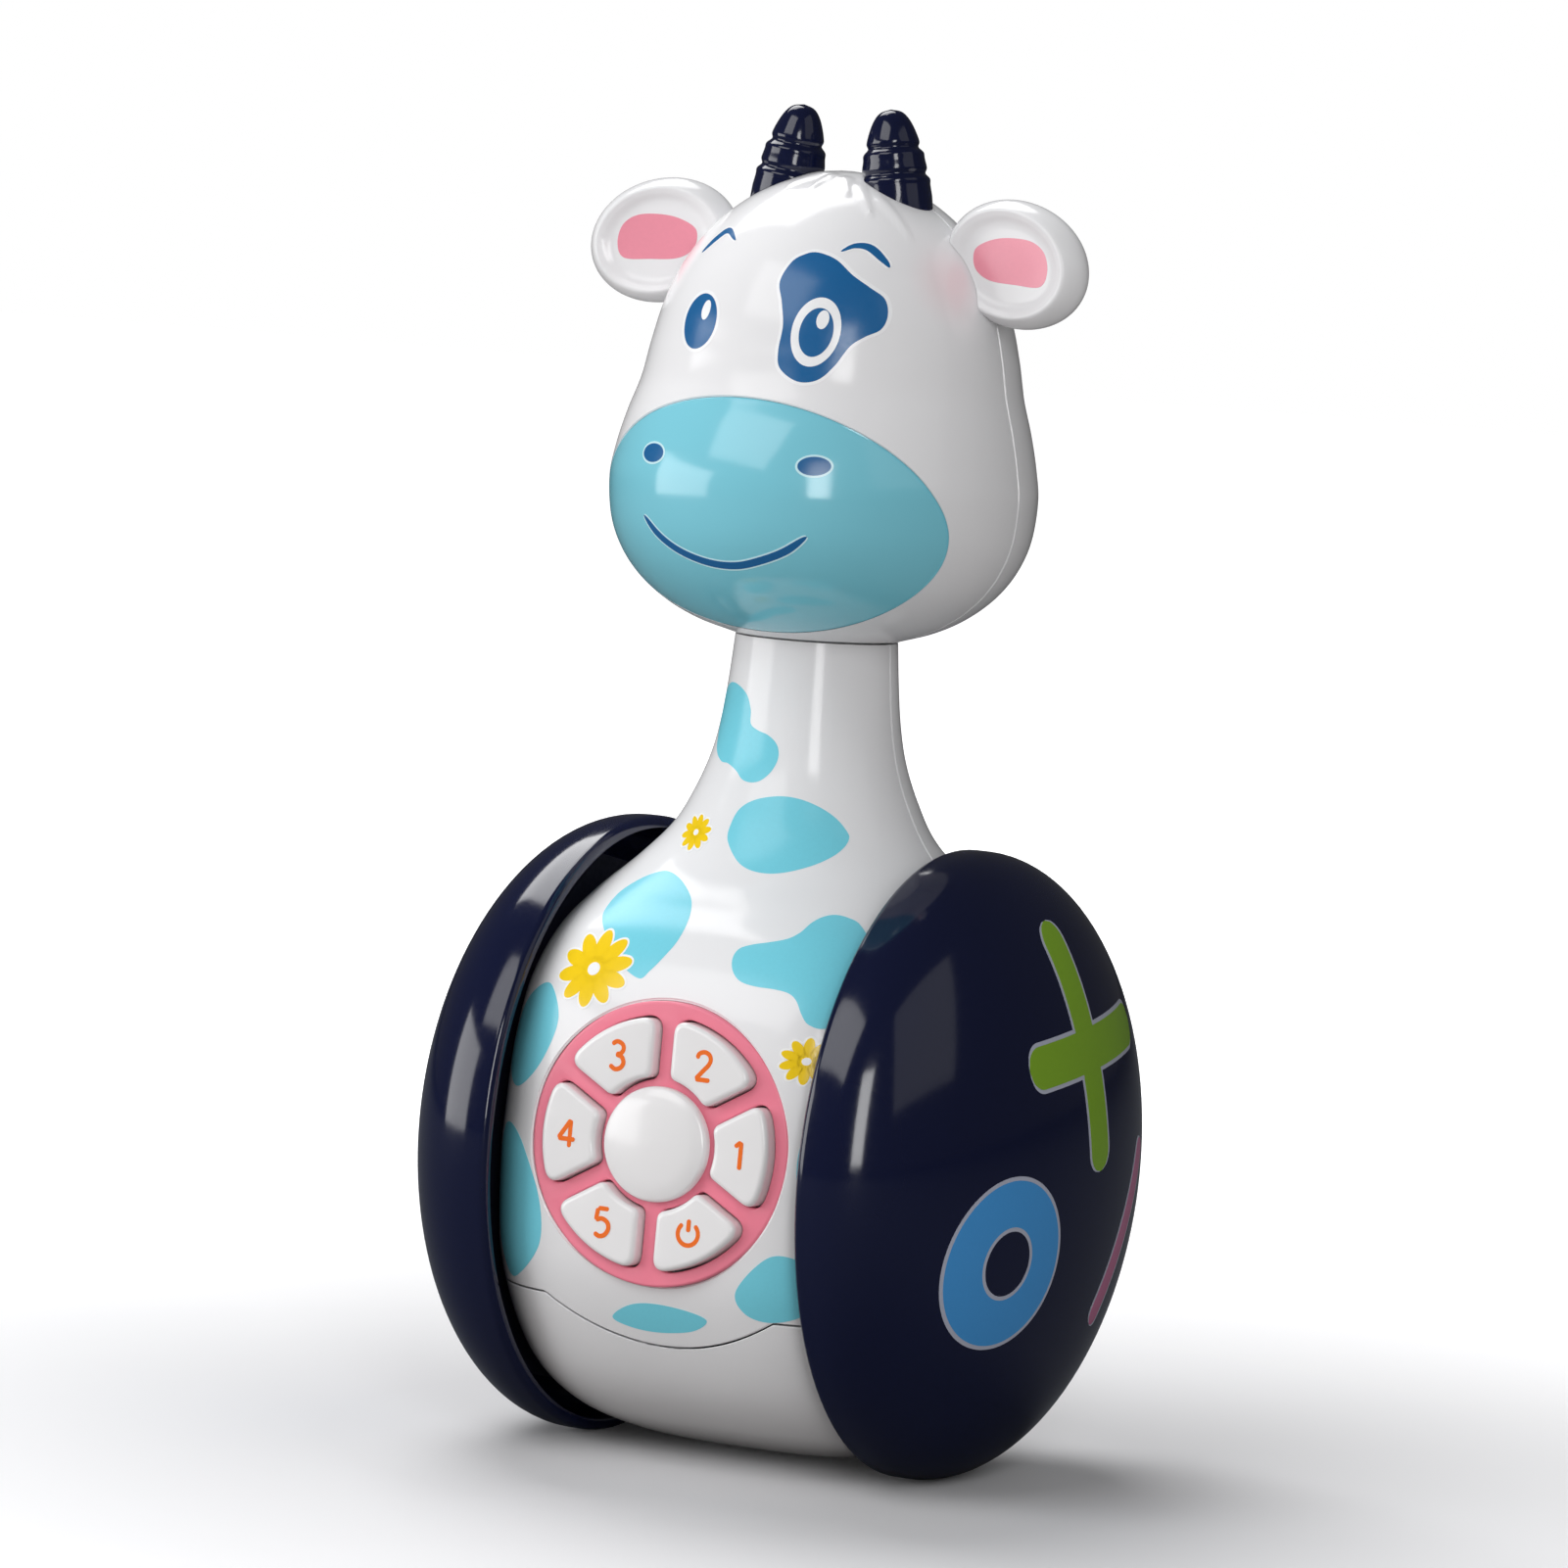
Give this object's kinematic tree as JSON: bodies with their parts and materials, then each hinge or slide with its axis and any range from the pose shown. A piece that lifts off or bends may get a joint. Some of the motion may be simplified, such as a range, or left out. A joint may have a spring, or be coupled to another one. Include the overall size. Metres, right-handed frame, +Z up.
{
  "type": "tumbler toy",
  "caption": "Roly-poly calf toy: weighted round belly with a button pad and a horned head, hung between two free-rolling dome wheels so that it always swings upright.",
  "frame": {"origin": "on the floor, under the middle of the axle", "axes": "+Z up, -Y towards the face and the buttons, +X along the axle to the viewer's right"},
  "size_m": [0.1084, 0.1, 0.2156],
  "materials": {
    "white_shell": "gloss moulded ABS with printed spots",
    "navy_shell": "high-gloss moulded ABS",
    "muzzle_blue": "gloss moulded ABS",
    "pink_ring": "satin moulded ABS",
    "button_white": "gloss moulded ABS",
    "inner_plastic": "as moulded",
    "steel": "zinc-plated steel",
    "casting": "rough casting",
    "cell": "plain sleeve",
    "mat_rubber": "moulded silicone",
    "board": "solder mask",
    "speaker_black": "paper cone in a black basket"
  },
  "bodies": {
    "body": {"body_front": "white_shell", "body_back": "white_shell", "body_base": "white_shell", "battery_cover": "white_shell", "battery_cover_screw": "steel", "battery_tray": "white_shell", "battery_1": "cell", "battery_2": "cell", "battery_3": "cell", "battery_contact_left": "steel", "battery_contact_right": "steel", "counterweight": "casting", "axle": "steel", "axle_bush_left": "inner_plastic", "axle_bush_right": "inner_plastic", "axle_cap_left": "steel", "axle_cap_right": "steel", "button_ring": "pink_ring", "centre_cap": "button_white", "button_mat": "mat_rubber", "circuit_board": "board", "speaker": "speaker_black", "neck_collar": "inner_plastic", "head_front": "white_shell", "head_back": "white_shell", "muzzle": "muzzle_blue", "ear_left": "white_shell", "ear_right": "white_shell", "horn_left": "navy_shell", "horn_right": "navy_shell", "body_screw_1": "steel", "body_screw_2": "steel", "body_screw_3": "steel", "body_screw_4": "steel", "head_screw_1": "steel", "head_screw_2": "steel"},
    "wheel_left": {"wheel_dome_left": "navy_shell", "wheel_hub_left": "inner_plastic"},
    "wheel_right": {"wheel_dome_right": "navy_shell", "wheel_hub_right": "inner_plastic"},
    "button_1": {"button_1": "button_white"},
    "button_2": {"button_2": "button_white"},
    "button_3": {"button_3": "button_white"},
    "button_4": {"button_4": "button_white"},
    "button_5": {"button_5": "button_white"},
    "button_6": {"button_6": "button_white"}
  },
  "joints": [
    {"name": "wheel_left_roll", "type": "hinge", "parent": "body", "child": "wheel_left", "pos_m": [-0.03, 0, 0.05], "axis": [1, 0, 0], "continuous": true},
    {"name": "wheel_right_roll", "type": "hinge", "parent": "body", "child": "wheel_right", "pos_m": [0.03, 0, 0.05], "axis": [1, 0, 0], "continuous": true},
    {"name": "button_1_press", "type": "slide", "parent": "body", "child": "button_1", "axis": [0, 0.9981, -0.061], "range_m": [0, 0.0012], "stiffness_N_per_m": 1500, "springref_m": -0.0004},
    {"name": "button_2_press", "type": "slide", "parent": "body", "child": "button_2", "axis": [0, 0.9981, -0.061], "range_m": [0, 0.0012], "stiffness_N_per_m": 1500, "springref_m": -0.0004},
    {"name": "button_3_press", "type": "slide", "parent": "body", "child": "button_3", "axis": [0, 0.9981, -0.061], "range_m": [0, 0.0012], "stiffness_N_per_m": 1500, "springref_m": -0.0004},
    {"name": "button_4_press", "type": "slide", "parent": "body", "child": "button_4", "axis": [0, 0.9981, -0.061], "range_m": [0, 0.0012], "stiffness_N_per_m": 1500, "springref_m": -0.0004},
    {"name": "button_5_press", "type": "slide", "parent": "body", "child": "button_5", "axis": [0, 0.9981, -0.061], "range_m": [0, 0.0012], "stiffness_N_per_m": 1500, "springref_m": -0.0004},
    {"name": "button_6_press", "type": "slide", "parent": "body", "child": "button_6", "axis": [0, 0.9981, -0.061], "range_m": [0, 0.0012], "stiffness_N_per_m": 1500, "springref_m": -0.0004}
  ]
}
